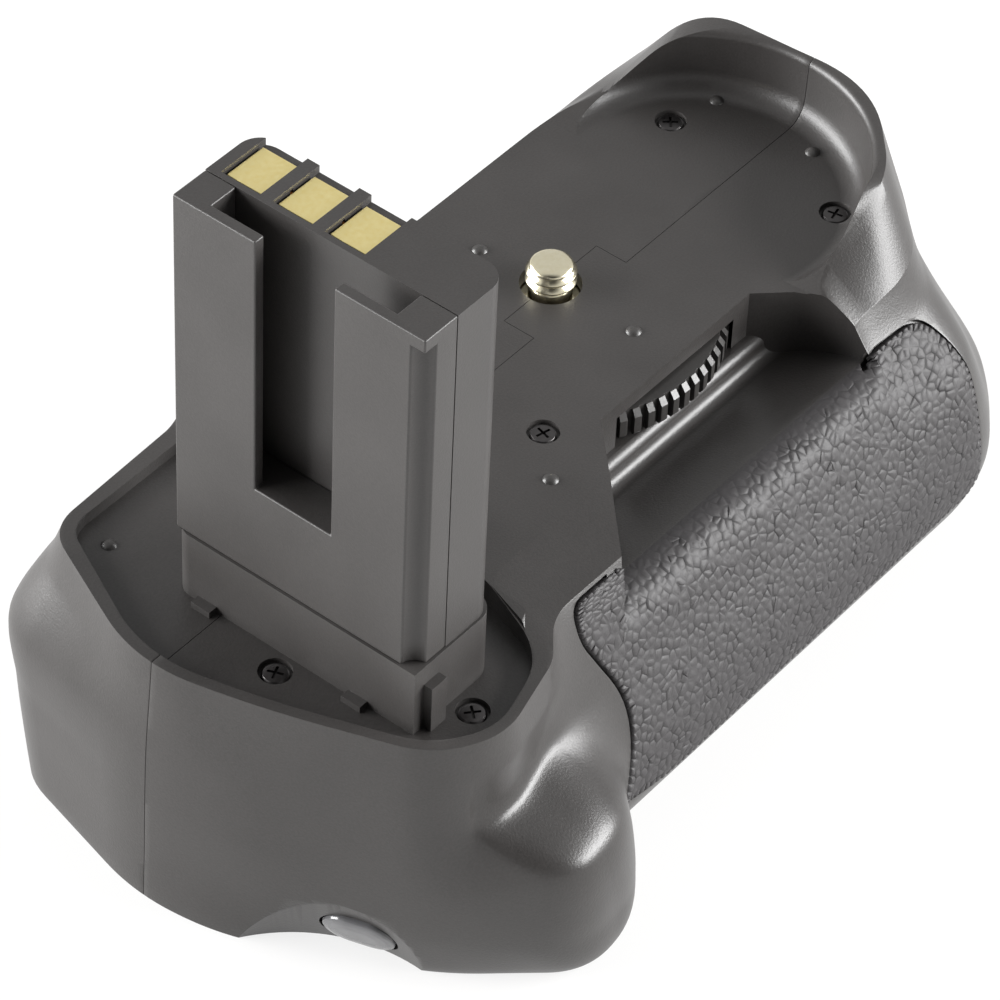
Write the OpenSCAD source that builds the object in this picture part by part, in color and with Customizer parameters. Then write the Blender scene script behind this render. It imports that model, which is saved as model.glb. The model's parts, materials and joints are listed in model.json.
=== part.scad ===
// Camera battery grip, in millimetres.
// +X runs along the body to the far end, -Y to the hand grip, +Z up.
// The origin is the camera screw's axis at the deck, where the camera sits.

/* [Body] */
// Deck to underside
body_h = 40; // [39:0.5:42]
// Deck's rear edge behind the screw axis
deck_back = 19.5; // [19:0.25:20]
// Ridge of the hand grip in front of the screw axis
ridge_front = 34.5; // [34:0.25:35.5]
// Near end in front of the stalk, from the screw axis
near_end = 77.5; // [77:0.1:78.5]
// Far end's rim from the screw axis
far_end = 46.8; // [46:0.2:48]
// Height of the far end's wall over the deck
far_wall_h = 9; // [6:0.5:11]
// How far the battery door's face stands out behind the deck's edge
back_flare = 7.1; // [6.8:0.1:7.6]
// How far the hand grip stands out beyond its ridge
grip_out = 9; // [8:0.5:10]
// How far the foot at the near end stands out beyond the rim
foot_out = 11; // [9:0.5:12]
// Thickness of the moulded walls
wall = 2.2; // [2:0.1:2.4]
// Thickness of the deck
deck_t = 2; // [1.8:0.1:2]
// Joint between the two halves, in front of the screw axis
seam_front = 4.6; // [4:0.2:5.5]
// Half length of the tab that holds the front half of the screw hole
tab_half = 9; // [7:0.5:10]

/* [Pocket] */
// Depth of the pocket at the stalk's foot
pocket_depth = 3.5; // [3:0.1:4]
// Drop of the pocket's rim below the deck
rim_drop = 1.8; // [1.4:0.1:2.2]
// Width of the pocket's rim
rim_w = 1.4; // [1.2:0.1:2]
// Pocket's far wall, from the screw axis
pocket_far = 44.3; // [43.5:0.1:45.5]

/* [Stalk] */
// Width of the battery-shaped stalk
stalk_w = 35.2; // [34:0.2:36]
// Thickness of the stalk
stalk_t = 14; // [13.5:0.25:14.5]
// Stalk's top over the deck
stalk_top = 56.3; // [50:0.5:60]
// Stalk's centre from the screw axis, along the body
stalk_x = 58.6; // [58:0.2:59]
// Stalk's centre in front of the screw axis
stalk_y = 15.2; // [14.6:0.2:15.6]
// Top of the stalk's foot over the deck
foot_top = 6.2; // [5:0.2:8]
// Ledge of the foot round the stalk
foot_ledge = 0.3; // [0.2:0.1:0.6]
// Thickness of the front cover
cover_t = 5.4; // [5:0.2:5.6]
// Thickness of the cover's front panels
panel_t = 1.5; // [1.2:0.1:1.8]
// Width of the slot behind the panels
slot_w = 25.8; // [22:0.2:27]
// Width of the slot's mouth
mouth_w = 11; // [9:0.5:13]
// Slot's lower end over the deck
slot_bottom = 19.6; // [16:0.2:24]
// Distance between contact centres
contact_pitch = 7.3; // [7:0.1:7.6]
// Width of a contact's notch
notch_w = 5.6; // [5.2:0.1:5.8]
// Depth of a contact's notch
notch_d = 1; // [0.8:0.1:1.4]

/* [Wheel and screw] */
// Radius of the thumb wheel over its teeth
wheel_r = 22.1; // [21.8:0.1:22.2]
// Thickness of the wheel
wheel_t = 3.9; // [3.4:0.1:4]
// Wheel's top below the deck
wheel_drop = 2.7; // [2.5:0.1:3]
// Number of teeth
teeth = 72; // [60:2:90]
// Depth of a tooth gap
tooth_d = 0.9; // [0.6:0.1:1.2]
// Clearance round the wheel
wheel_gap = 0.45; // [0.4:0.05:0.6]
// Outer radius of the camera screw's thread, a quarter inch across
thread_r = 3.175; // [3.17:0.005:3.18]
// Height of the screw over the deck
screw_h = 3.6; // [3.2:0.1:5]
// Radius of the screw's neck in the deck
neck_r = 2.8; // [2.6:0.1:2.9]
// Start of the thread over the deck
thread_z = 0.2; // [0.1:0.05:0.4]
// Radius of the screw's hub
hub_r = 5; // [4.5:0.1:5.5]
// Radius of the screw's journal
journal_r = 3; // [2.8:0.1:3]
// Radial clearance of turning fits
run_gap = 0.05; // [0.03:0.01:0.08]

/* [Batteries] */
// Width of a battery bay
bay_w = 36.6; // [36.4:0.1:36.8]
// Height of a battery bay
bay_h = 14.6; // [14.4:0.1:14.8]
// Depth of a battery bay
bay_d = 56.4; // [56:0.1:56.6]
// Thickness of a tray's walls
tray_t = 1.2; // [1:0.1:1.3]
// Slant across a bay's front corners
corner_cut = 1.7; // [1.4:0.1:1.8]
// Half of the space between the two bays
bay_gap = 6.2; // [6.2:0.1:6.5]

/* [Door] */
// Thickness of the battery door
door_t = 2; // [1.8:0.1:2.2]
// Half length of the door
door_half = 44.6; // [44.4:0.1:45]
// Radius of the hinge knuckles
knuckle_r = 1.5; // [1.4:0.05:1.6]
// Radius of the hinge pin
pin_r = 0.8; // [0.7:0.05:0.85]
// Gap round the door
door_gap = 0.4; // [0.35:0.05:0.5]
// Travel of the latch
latch_travel = 2.2; // [2:0.1:2.4]

/* [Release button] */
// Radius of the finger scoop
scoop_r = 24; // [23:0.5:26]
// Radius of the button's round ends
button_r = 3.3; // [3:0.1:3.4]
// Half of the distance between the round ends
button_half = 1.3; // [1:0.1:1.5]
// How far the button stands out of the scoop
button_out = 0.9; // [0.7:0.1:1.1]
// Travel of the button
button_travel = 1.2; // [1:0.1:1.3]
// Gap round the button
button_gap = 0.3; // [0.25:0.05:0.4]

/* [Grip pad] */
// Thickness of the rubber pad
pad_t = 1.2; // [1:0.1:1.4]
// How far the pad stands proud of the body
pad_proud = 0.3; // [0.2:0.05:0.4]

/* [Screws] */
// Head radius of the small screws
head_r = 1.7; // [1.5:0.1:1.9]
// Shank radius of the small screws
shank_r = 1; // [0.9:0.05:1.1]
// Depth of a screw head's cone
head_d = 0.8; // [0.7:0.1:0.9]

/* [Hidden] */
$fn = 64;
eps = 0.01;
corner_steps = 4;
moulded_fn = 24;
back_y = deck_back + back_flare;
corner_y = deck_back + 4.7;
grip_y = ridge_front + grip_out;
low = -body_h;
floor_z = -pocket_depth;
base_t = 2;
base_z = low + base_t;
front_lobe = 42;
foot_y = front_lobe + foot_out;
stalk_front = -stalk_x - stalk_t / 2;
stalk_back = -stalk_x + stalk_t / 2;
stalk_left = -stalk_y + stalk_w / 2;
stalk_right = -stalk_y - stalk_w / 2;
cover_back = stalk_front + cover_t;
slot_y = -14.85;
contact_x = -56.2;
contact_y = -9.2;
contact_t = 0.4;
wheel_z = -wheel_drop - wheel_t;
hub_top = -deck_t - 0.3;
hub_z = wheel_z - 1.4;
bush_z = hub_z - 0.3;
bush_t = 4.2;
bracket_t = 2;
bracket_z = bush_z - 0.6 - bracket_t;
journal_z = bush_z - bush_t - 2.4;
clip_z = bush_z - bush_t - 1.4;
tray_z = base_z;
bay_z = tray_z + tray_t;
bay_top = bay_z + bay_h;
tray_top = bay_top + tray_t;
bay_back = back_y - 3.7;
bay_front = bay_back - bay_d;
axis_y = back_y - 1.7;
axis_z = low + 2;
door_low = axis_z + knuckle_r + 0.5;
door_top = tray_top - 0.2;
button_turn = 4;
button_slide = -3;
scoop_tilt = 22;
scoop_turn = 203;
scoop_at = [-71.8, -28.5, low + 7];
seat_d = 1.9;
board_z = -13.6;
post_h = 8.2;
glue_gap = 0.04;
pad_gap = 0.1;
socket_r = 4.9;
scoop_low = -10;
lip_r = 1.5;
lip_front = 21.1;
scoop_rise = 16;
crest_y = 33.3;
crest_z = -7.2;
crest_r = 5;
scoop_plan = [[-14.8, -19.4], [14.5, -19.4], [19.5, -26.5], [20, -33], [21, -60], [-55.4, -60]];
bowl_at = [24.3, -3.6, 0];
bowl_r = 21;
bowl_fillet = 3;
pad_back = 32;
bracket_x = wheel_r + 3.4;
bay_end = bay_gap + bay_w + tray_t;
far_x = bay_end + 6.5;
opening_half = max(door_half + door_gap, bay_end + door_gap);
board_t = 1.6;

deck_screw_at = [[33.7, 7.6, 0], [33.4, -18.4, 0], [-20.9, -15.6, 0], [-58.6, -35.8, floor_z],
    [-68.5, -15, floor_z]];
nub_at = [[-1, 10.3, 0], [-0.1, -12.9, 0], [-26.6, -21.3, 0], [40.7, 5.6, 0], [40.7, -9.5, 0],
    [-65.9, 12.7, floor_z]];
base_screw_at = [[-53, 14.5], [-53, -34], [0, -31]];
board_screw_at = [[-66, -26], [-66, 8], [-50, -26], [-50, 8]];
bay_x = [-bay_gap - bay_w, bay_gap];
lug_x = [[-door_half, 2.6 - door_half], [-3, 3], [door_half - 2.6, door_half]];
knuckle_x = [[3 - door_half, -3.4], [3.4, door_half - 3]];

// The body's skin: each slice lists its corners as x, y, z and how far the corner is rounded,
// anticlockwise from above: two at the far front, far rear, four along the rear, near rear,
// two at the near end, three round the foot, the ridge's two ends, then the far shoulder.
roof = [[34, -25.5, far_wall_h, 6], [far_end + 0.4, -13.5, far_wall_h, 10],
    [far_end - 1.6, 13, far_wall_h, 12], [33, 16.8, 1.2, 3], [23, deck_back - 0.2, 0.4, 4],
    [-44, deck_back - 0.2, 0.4, 1], [-48, deck_back - 2.6, -rim_drop, 1], [-68, 16, -rim_drop, 3.5],
    [0.9 - near_end, -3, -rim_drop, 8], [-73, -18.4, -rim_drop, 7], [-66.3, -35, -rim_drop, 4.5],
    [-59.6, -38.6, -rim_drop, 3.5], [-49.4, -36.4, -rim_drop, 2], [-43.5, -24, 0.35, 2],
    [19, -24, 0.35, 3], [22, -24.3, 2.1, 1]];
rim = [[33, -31.5, -0.5, 6], [far_end + 0.2, -17.5, 0.5, 9], [far_end + 2, 18, 0.5, 12],
    [33, 19.6, -0.4, 4], [24, deck_back + 0.6, -1.2, 4], [-44, deck_back + 0.6, -1.2, 1],
    [-48, deck_back - 0.3, -rim_drop, 1], [-69.5, 18.4, -rim_drop, 4],
    [-near_end - 1.5, -3, -rim_drop, 9], [-75, -19, -rim_drop, 8], [-68, 4.4 - front_lobe, -rim_drop, 5],
    [-60.3, -front_lobe, -rim_drop, 4], [-47.9, 3.2 - front_lobe, -rim_drop, 1.5],
    [-42.6, -ridge_front, -1.5, 3], [14, -ridge_front, -1.5, 8],
    [20.5, -30.6, -2.6, 3]];
shoulder = [[33.5, -34.2, -6, 6], [far_end - 2.8, -22.3, -5, 8], [far_end + 3.2, 20.5, -5, 11],
    [34, deck_back + 2.5, -5, 4], [26, deck_back + 2.5, -5, 4], [-44, deck_back + 2.2, -5, 1],
    [-50, deck_back + 0.9, -5.5, 1], [-70.8, deck_back + 0.9, -6.5, 6], [-near_end - 1.8, -3.1, -7, 9],
    [-75.6, -18.6, -7, 8], [-68.3, -38.3, -7, 5], [-60.4, -0.6 - front_lobe, -7, 4],
    [-48.9, 2.5 - front_lobe, -7, 1.5], [-41.8, -ridge_front - 1.6, -5, 3],
    [15, -ridge_front - 2, -5, 7], [20.5, -33.2, -6.2, 3]];
upper = [[far_x - 15, 3.5 - grip_y, -13, 5], [far_x - 4.1, 19 - grip_y, -13, 8], [far_x, back_y, -15, 5],
    [far_x - 14.5, back_y, -15, 4], [far_x - 20.5, back_y, -15, 2], [-46, back_y, -15, 2],
    [-54, corner_y, -15, 2], [-74.6, corner_y, -15, 8], [-near_end - 2.2, -3.3, -15, 9],
    [-76.8, -18, -15, 8], [-68.6, -39, -15, 5], [-60.6, -1.4 - front_lobe, -14.5, 4],
    [-50.5, 1.2 - front_lobe, -14, 2.5], [-40.4, 4.3 - grip_y, -14, 4], [18, 3.9 - grip_y, -14, 6],
    [24, 3.8 - grip_y, -13.7, 3]];
middle = [[far_x - 14.5, 0.8 - grip_y, -22, 5], [far_x - 1.7, 12 - grip_y, -22, 7],
    [far_x, back_y, -20, 5], [far_x - 14.5, back_y, -20, 4], [far_x - 20.5, back_y, -20, 2],
    [-46, back_y, -20, 2], [-54, corner_y, -20, 2], [-74.3, corner_y - 0.3, -24, 8],
    [-near_end - 2.5, -3.4, -24, 9], [-77.8, -17.2, -24, 7], [-69, -39.4, -24, 5],
    [-59.5, 0.9 - foot_y, -19.5, 5], [-48.5, 2 - foot_y, -19.5, 5], [-38.5, 1.1 - grip_y, -23, 4],
    [20, 0.5 - grip_y, -23, 6], [25, 0.6 - grip_y, -22.6, 3]];
lower = [[far_x - 14.5, 0.1 - grip_y, -30, 5], [far_x - 2.2, 8.4 - grip_y, -30, 7],
    [far_x, back_y, -31, 5], [far_x - 14.5, back_y, -31, 4], [far_x - 20.5, back_y, -31, 2],
    [-46, back_y, -31, 2], [-54, corner_y - 0.3, -31, 2], [-74.2, corner_y - 1, -32, 8],
    [-near_end - 2.7, -3.5, -32, 8], [-78.2, -16.4, -32, 7], [-68.4, -40.2, -32, 5],
    [-58.5, -0.2 - foot_y, -32, 6], [-45.5, 1 - foot_y, -32, 6], [-40.3, -0.3 - grip_y, -31, 3],
    [20, -grip_y, -31, 6], [25, -grip_y, -30.6, 3]];
skirt = [[far_x - 14.2, 2.7 - grip_y, low + 2.4, 5], [far_x - 2.5, 9 - grip_y, low + 2.4, 7],
    [far_x - 0.2, back_y, low + 2.4, 5], [far_x - 14.5, back_y, low + 2.4, 4],
    [far_x - 20.5, back_y, low + 2.4, 2], [-46, back_y, low + 2.4, 2], [-54, corner_y - 1, low + 2.4, 2],
    [-74.4, corner_y - 2, low + 2, 8], [-near_end - 2.9, -3.6, low + 2, 8], [-78.6, -16, low + 2, 7],
    [-67, -39.8, low + 2, 5], [-56.2, 0.3 - foot_y, low + 2, 6], [-45.5, 1.4 - foot_y, low + 2, 6],
    [-38.4, 2.6 - grip_y, low + 2.4, 3], [20, 2.7 - grip_y, low + 2.4, 6],
    [25, 2.7 - grip_y, low + 2.4, 3]];
bottom = [[far_x - 14.5, 4.5 - grip_y, low, 5], [far_x - 4, 10 - grip_y, low, 7],
    [far_x - 1.5, back_y - 1.4, low, 5], [far_x - 14.5, back_y - 1.4, low, 4],
    [far_x - 20.5, back_y - 1.4, low, 2], [-46, back_y - 1.4, low, 2], [-54, corner_y - 2.4, low, 2],
    [-74.3, corner_y - 2.6, low, 7], [-near_end - 2.9, -3.6, low, 8], [-78.6, -16, low, 7],
    [-66.2, -39.2, low, 5], [-55.2, 2 - foot_y, low, 6], [-46, 3.2 - foot_y, low, 6],
    [-37.4, 4.2 - grip_y, low, 3], [20, 4.5 - grip_y, low, 6], [25, 4.5 - grip_y, low, 3]];
slices = [rim, shoulder, upper, middle, lower, skirt, bottom];
pocket_edge = [[-67.9, 16.9, 0, 3], [rim_w - 1.4 - near_end, -3, 0, 8], [rim_w - 75, -18.6, 0, 7],
    [-67, -36.3, 0, 5], [-60, rim_w - front_lobe, 0, 4], [-48, rim_w + 3.3 - front_lobe, 0, 5],
    [-pocket_far, -26, 0, 2], [-pocket_far, 16.9, 0, 1]];
pad_edge = [[-39.6, -2.2, 0, 2.5], [13, -2.2, 0, 1], [18.5, -6.2, 0, 1.5], [30.5, -6, 0, 3], [34, -12, 0, 5],
    [34, low + 8, 0, 4], [-30, low + 8, 0, 6], [-39.6, low + 10.5, 0, 1.5], [-34.2, -18.5, 0, 6],
    [-39.8, -6.5, 0, 4]];

function unit(v) = v / norm(v);
function place(c) = [c[0], c[1], c[2]];
function curve(a, b, c, s) = (1 - s) * (1 - s) * a + 2 * s * (1 - s) * b + s * s * c;
function reach(a, b, c, r) = min(r, 0.47 * norm(a - b), 0.47 * norm(c - b));
function bend(a, b, c, r, steps) = [for (i = [0 : steps])
    curve(b + r * unit(a - b), b, b + r * unit(c - b), i / steps)];
function corner(a, b, c, r, steps) = bend(a, b, c, reach(a, b, c, r), steps);
function ring(list, steps = corner_steps) = [for (i = [0 : len(list) - 1])
    each corner(place(list[(i + len(list) - 1) % len(list)]), place(list[i]),
    place(list[(i + 1) % len(list)]), list[i][3], steps)];
function arc(at, r, from, to, n = 6) = [for (i = [0 : n])
    at + r * [cos(from + (to - from) * i / n), sin(from + (to - from) * i / n)]];
function flat(points) = [for (p = points) [p[0], p[1]]];
function side(points, i) = points[(i + 1) % len(points)] - points[(i + len(points) - 1) % len(points)];
function outward(points, i) = unit([side(points, i)[1], -side(points, i)[0], 0]);
function inset(points, by) = [for (i = [0 : len(points) - 1]) points[i] - by * outward(points, i)];
function between(a, b, c, d) = (9 * b + 9 * c - a - d) / 16;
function halfway(rings, k) = [for (i = [0 : len(rings[0]) - 1]) between(rings[max(k - 1, 0)][i],
    rings[k][i], rings[k + 1][i], rings[min(k + 2, len(rings) - 1)][i])];
function smooth(rings) = [for (k = [0 : len(rings) - 1]) each k < len(rings) - 1 ?
    [rings[k], halfway(rings, k)] : [rings[k]]];

// The skin as one closed solid, moved in by a wall's thickness where asked
module skin(by = 0, steps = corner_steps) {
    rings = [for (points = concat([ring(roof, steps)], smooth([for (s = slices) ring(s, steps)])))
        inset(points, by)];
    n = len(rings[0]);
    last = len(rings) - 1;
    walls = [for (k = [0 : last - 1], i = [0 : n - 1]) each [[k * n + i, k * n + (i + 1) % n,
        (k + 1) * n + (i + 1) % n], [k * n + i, (k + 1) * n + (i + 1) % n, (k + 1) * n + i]]];
    top = [for (i = [0 : n - 1]) [(i + 1) % n, i, (last + 1) * n]];
    under = [for (i = [0 : n - 1]) [last * n + i, last * n + (i + 1) % n, (last + 1) * n + 1]];
    points = concat([for (r = rings) each r], [[-15, -8, 12], [-15, -8, low]]);
    polyhedron(points = points, faces = concat(walls, top, under), convexity = 8);
}

// Moulded forms are kept as facets
module moulded() {
    resize([0, 0, 0]) children();
}

module block(a, b) {
    translate(a) cube(b - a);
}

module bar(a, b, y, z, r) {
    translate([a, y, z]) rotate([0, 90, 0]) cylinder(r = r, h = b - a);
}

module small_screw(length) {
    translate([0, 0, -head_d]) cylinder(r1 = shank_r, r2 = head_r, h = head_d);
    translate([0, 0, -length]) cylinder(r = shank_r, h = length);
}

module cross_recess() {
    block([-1, -0.2, -0.5], [1, 0.2, 0.5]);
    block([-0.2, -1, -0.5], [0.2, 1, 0.5]);
}

// Space of the camera: over the deck, in the far end's bowl and in the pocket
module camera_space() {
    block([-60, -70, 0], [21, 40, 30]);
    block([0, 0, 0], [23.5, 40, 30]);
    translate(bowl_at) rotate_extrude($fn = 72) bowl_profile();
    translate([0, 0, floor_z]) linear_extrude(30) polygon(flat(ring(pocket_edge)));
}

module bowl_profile() {
    difference() {
        polygon([[0, 0], [bowl_r, 0], [bowl_r + 0.3, far_wall_h], [bowl_r + 0.6, 14], [0, 14]]);
        difference() {
            translate([bowl_r - bowl_fillet, -1]) square([bowl_fillet + 1, bowl_fillet + 1]);
            translate([bowl_r - bowl_fillet, bowl_fillet]) circle(r = bowl_fillet, $fn = 32);
        }
    }
}

// Dish below the deck's front edge that lets a finger reach the wheel: seen along the body it
// starts at a lip under the wheel, rises to a crest and rolls over into the hand grip's face
module wheel_scoop(grow = 0) {
    profile = concat([[-12, 20], [-12, scoop_low + 2 * lip_r]],
        arc([-lip_front + lip_r, scoop_low + lip_r], lip_r, 90, 180),
        arc([-lip_front - lip_r, scoop_low + lip_r], lip_r, 0, -90 - scoop_rise),
        arc([-crest_y, crest_z - crest_r], crest_r, 90 - scoop_rise, 160),
        [[-crest_y - crest_r - 1.2, crest_z - 6.5], [-60, crest_z - 6.5], [-60, 20]]);
    intersection() {
        translate([0, 0, -30]) linear_extrude(50) offset(delta = grow) polygon(scoop_plan);
        translate([-50, 0, 0]) rotate([90, 0, 90]) linear_extrude(100) offset(delta = grow) polygon(profile);
    }
}

// The skin with the dish in it
module form(by) {
    difference() {
        skin(by);
        wheel_scoop(by);
    }
}

// Frame of the finger scoop: X out of the body, Y to the front, Z up along the scoop
module at_scoop() {
    translate(scoop_at) rotate([0, scoop_tilt, scoop_turn]) children();
}

module finger_scoop(grow = 0) {
    at_scoop() translate([scoop_r, 0, -40]) cylinder(r = scoop_r + grow, h = 80, $fn = 96);
}

// Frame of the button: Z out of the scoop's surface
module at_button() {
    at_scoop() translate([scoop_r * (1 - cos(button_turn)), scoop_r * sin(button_turn), button_slide])
        rotate([0, 0, -button_turn]) rotate([0, 90, 0]) children();
}

module button_plan(grow = 0) {
    for (s = [-1, 1]) translate([0, s * button_half]) circle(r = button_r + grow);
    square([2 * (button_r + grow), 2 * button_half], center = true);
}

module pad_prism(grow = 0) {
    translate([0, -pad_back, 0]) rotate([90, 0, 0]) linear_extrude(40)
        polygon(flat(inset(ring(pad_edge), grow)));
}

module front_half() {
    translate([0, 0, -60]) linear_extrude(120) polygon([[-120, -seam_front], [-120, -90], [90, -90],
        [90, -seam_front], [tab_half, -seam_front], [tab_half, 0], [-tab_half, 0], [-tab_half, -seam_front]]);
}

module rear_half() {
    translate([0, 0, -60]) linear_extrude(120) polygon([[-120, -seam_front], [-tab_half, -seam_front],
        [-tab_half, 0], [tab_half, 0], [tab_half, -seam_front], [90, -seam_front], [90, 60], [-120, 60]]);
}

module base_outline(grow) {
    intersection() {
        polygon(flat(inset(ring(bottom), 3.4 + grow)));
        translate([-60 + grow, -90]) square([140, 180]);
    }
    translate([-door_half - 0.2 + grow, 0]) square([2 * door_half + 0.4 - 2 * grow, bay_back - 0.2 - grow]);
}

module body_cavity() {
    difference() {
        intersection() {
            skin(wall, 2);
            block([-100, -80, base_z], [100, 60, -deck_t]);
        }
        block([-100, -80, floor_z - wall], [-pocket_far + wall, 60, 10]);
        wheel_scoop(wall);
        finger_scoop(wall);
        for (p = deck_screw_at) translate([p[0], p[1], p[2] - post_h]) cylinder(r = 2.4, h = post_h);
        for (i = [0, 1]) translate([base_screw_at[i][0], base_screw_at[i][1], base_z]) cylinder(r = 2.6,
            h = floor_z + 0.5 - base_z);
        translate([base_screw_at[2][0], base_screw_at[2][1], base_z]) cylinder(r = 2.6,
            h = crest_z - 1 - base_z);
        for (p = board_screw_at) translate([p[0], p[1], board_z + board_t]) cylinder(r = 2, h = 10);
    }
}

module body() {
    $fn = moulded_fn;
    difference() {
        skin();
        camera_space();
        wheel_scoop();
        finger_scoop();
        body_cavity();
        translate([0, 0, low - 1]) linear_extrude(base_t + 1) base_outline(0);
        translate([0, 0, wheel_z - wheel_gap]) cylinder(r = wheel_r + wheel_gap,
            h = wheel_t + 2 * wheel_gap, $fn = 96);
        translate([0, 0, -10]) cylinder(r = thread_r + 0.7, h = 20);
        for (p = deck_screw_at) translate(p) small_screw(7);
        for (p = base_screw_at) translate([p[0], p[1], base_z - eps]) cylinder(r = shank_r, h = 5);
        for (p = board_screw_at) translate([p[0], p[1], board_z]) cylinder(r = shank_r - 0.2, h = 5);
        block([-60.4, -29, floor_z - 4], [-52.4, 1, floor_z + 1]);
        block([-opening_half, bay_back, low - 1], [opening_half, 40, door_top + door_gap]);
        at_button() translate([0, 0, -20]) linear_extrude(40) button_plan(button_gap);
        at_button() translate([0, 0, -20]) linear_extrude(20 - seat_d) button_plan(1.6);
    }
}

module front_shell() {
    color("#4a4847") moulded() difference() {
        intersection() {
            body();
            front_half();
        }
        difference() {
            pad_prism(pad_gap);
            form(pad_t - pad_proud + glue_gap);
        }
    }
}

module rear_shell() {
    color("#4f4c4b") moulded() intersection() {
        body();
        rear_half();
    }
}

module grip_pad() {
    color("#3b3938") moulded() difference() {
        intersection() {
            form(-pad_proud);
            pad_prism();
        }
        form(pad_t - pad_proud);
    }
}

module base_plate() {
    color("#454342") difference() {
        union() {
            translate([0, 0, low]) linear_extrude(base_t) base_outline(0.15);
            for (l = lug_x) {
                bar(l[0], l[1], axis_y, axis_z, knuckle_r);
                block([l[0], bay_back - 3, axis_z - knuckle_r], [l[1], axis_y, axis_z]);
            }
        }
        translate([0, 0, low - 1]) cylinder(r = socket_r, h = 10);
        bar(-60, 60, axis_y, axis_z, pin_r);
        for (p = base_screw_at) translate([p[0], p[1], low]) mirror([0, 0, 1]) small_screw(6);
    }
}

module tripod_socket() {
    color("#c9b26a") translate([0, 0, low]) difference() {
        cylinder(r = socket_r, h = 7);
        translate([0, 0, -1]) cylinder(r = thread_r, h = 7);
    }
}

module deck_screws() {
    color("#2c2b2b") for (p = deck_screw_at) translate(p) difference() {
        small_screw(7);
        cross_recess();
    }
}

module deck_nubs() {
    color("#3a3838") for (p = nub_at) translate(p) intersection() {
        translate([0, 0, -0.7]) sphere(r = 1.2);
        cylinder(r = 2, h = 2);
    }
}

module base_screws() {
    color("#8a8a8c") for (p = base_screw_at) translate([p[0], p[1], low]) mirror([0, 0, 1]) difference() {
        small_screw(6);
        cross_recess();
    }
}

module stalk_plan(grow, front_r) {
    r = 3;
    x0 = stalk_front - grow;
    x1 = stalk_back + grow;
    y0 = stalk_right - grow;
    y1 = stalk_left + grow;
    translate([x0, y0]) square([x1 - x0 - r, y1 - y0 - front_r]);
    translate([x0 + front_r, y0 + r]) square([x1 - x0 - front_r - r, y1 - y0 - r]);
    translate([x0 + r, y0 + r]) square([x1 - x0 - r, y1 - y0 - 2 * r]);
    translate([x1 - r, y0 + r]) circle(r = r);
    translate([x1 - r, y1 - r]) circle(r = r);
    translate([x0 + front_r, y1 - front_r]) circle(r = front_r);
}

module stalk_shell() {
    color("#6a6663") difference() {
        union() {
            translate([0, 0, floor_z]) linear_extrude(foot_top - floor_z) stalk_plan(foot_ledge, 2.5);
            translate([0, 0, foot_top - eps]) linear_extrude(stalk_top - foot_top + eps) stalk_plan(0, 0.8);
            block([-60.4, -29, floor_z - wall], [-52.4, 1, floor_z + 1]);
            block([-64.2, stalk_right - foot_ledge - 1.2, floor_z], [-61.6, stalk_right, 3.4]);
            for (y = [-2.5, -25]) block([stalk_front - foot_ledge - 1.3, y - 1.4, floor_z],
                [stalk_front, y + 1.4, floor_z + 0.9]);
        }
        block([stalk_front - 9, stalk_right - 9, foot_top], [cover_back, stalk_left + 9, stalk_top + 9]);
        block([-59, -28, floor_z - 9], [-53.4, 0, stalk_top - 2]);
        for (k = [-1, 0, 1]) translate([0, contact_y + k * contact_pitch, 0])
            block([-59.4, -notch_w / 2, stalk_top - notch_d], [stalk_back + 1, notch_w / 2, stalk_top + 1]);
        block([contact_x - 0.25, contact_y - 9.1, stalk_top - 3],
            [contact_x + 0.25, contact_y + 9.1, stalk_top - 0.5]);
    }
}

module stalk_cover() {
    color("#645f5d") difference() {
        block([stalk_front, stalk_right, foot_top], [cover_back, stalk_left, stalk_top]);
        block([stalk_front + panel_t, slot_y - slot_w / 2, slot_bottom],
            [cover_back + 1, slot_y + slot_w / 2, 90]);
        block([stalk_front - 1, slot_y - mouth_w / 2, slot_bottom],
            [cover_back + 1, slot_y + mouth_w / 2, 90]);
        translate([stalk_front, stalk_right, foot_top - 1]) cylinder(r = 1.9, h = stalk_top - foot_top - 0.8);
    }
}

module stalk_contacts() {
    color("#e7cf79") for (k = [-1, 0, 1]) translate([0, contact_y + k * contact_pitch, 0])
        block([-58.8, 0.3 - notch_w / 2, stalk_top - notch_d],
            [-52.8, notch_w / 2 - 0.3, stalk_top - notch_d + contact_t]);
}

module stalk_flex() {
    color("#b87333") block([contact_x - 0.2, contact_y - 9, board_z + board_t],
        [contact_x + 0.2, contact_y + 9, stalk_top - notch_d]);
}

module thumb_wheel() {
    pitch = 360 / teeth;
    color("#2f2d2c") translate([0, 0, wheel_z]) difference() {
        rotate_extrude() polygon([[hub_r, 0], [wheel_r - 0.4, 0], [wheel_r, 0.6], [wheel_r, wheel_t - 0.9],
            [wheel_r - 0.7, wheel_t], [wheel_r - 5.4, wheel_t], [wheel_r - 6, wheel_t - 0.9],
            [hub_r, wheel_t - 0.9]]);
        for (k = [0 : teeth - 1]) rotate([0, 0, k * pitch])
            block([wheel_r - tooth_d, -0.48, -1], [wheel_r + 1, 0.48, wheel_t + 1]);
    }
}

module camera_screw() {
    color("#d9d3c3") difference() {
        rotate_extrude() polygon([[0, journal_z], [journal_r, journal_z], [journal_r, hub_z], [hub_r, hub_z],
            [hub_r, hub_top], [neck_r, hub_top], [neck_r, thread_z], [thread_r, thread_z],
            [thread_r, screw_h - 0.9], [thread_r - 0.9, screw_h], [0, screw_h + 0.3]]);
        translate([0, 0, clip_z]) difference() {
            cylinder(r = journal_r + 1, h = 0.8);
            translate([0, 0, -1]) cylinder(r = journal_r - 0.7, h = 3);
        }
    }
}

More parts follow.
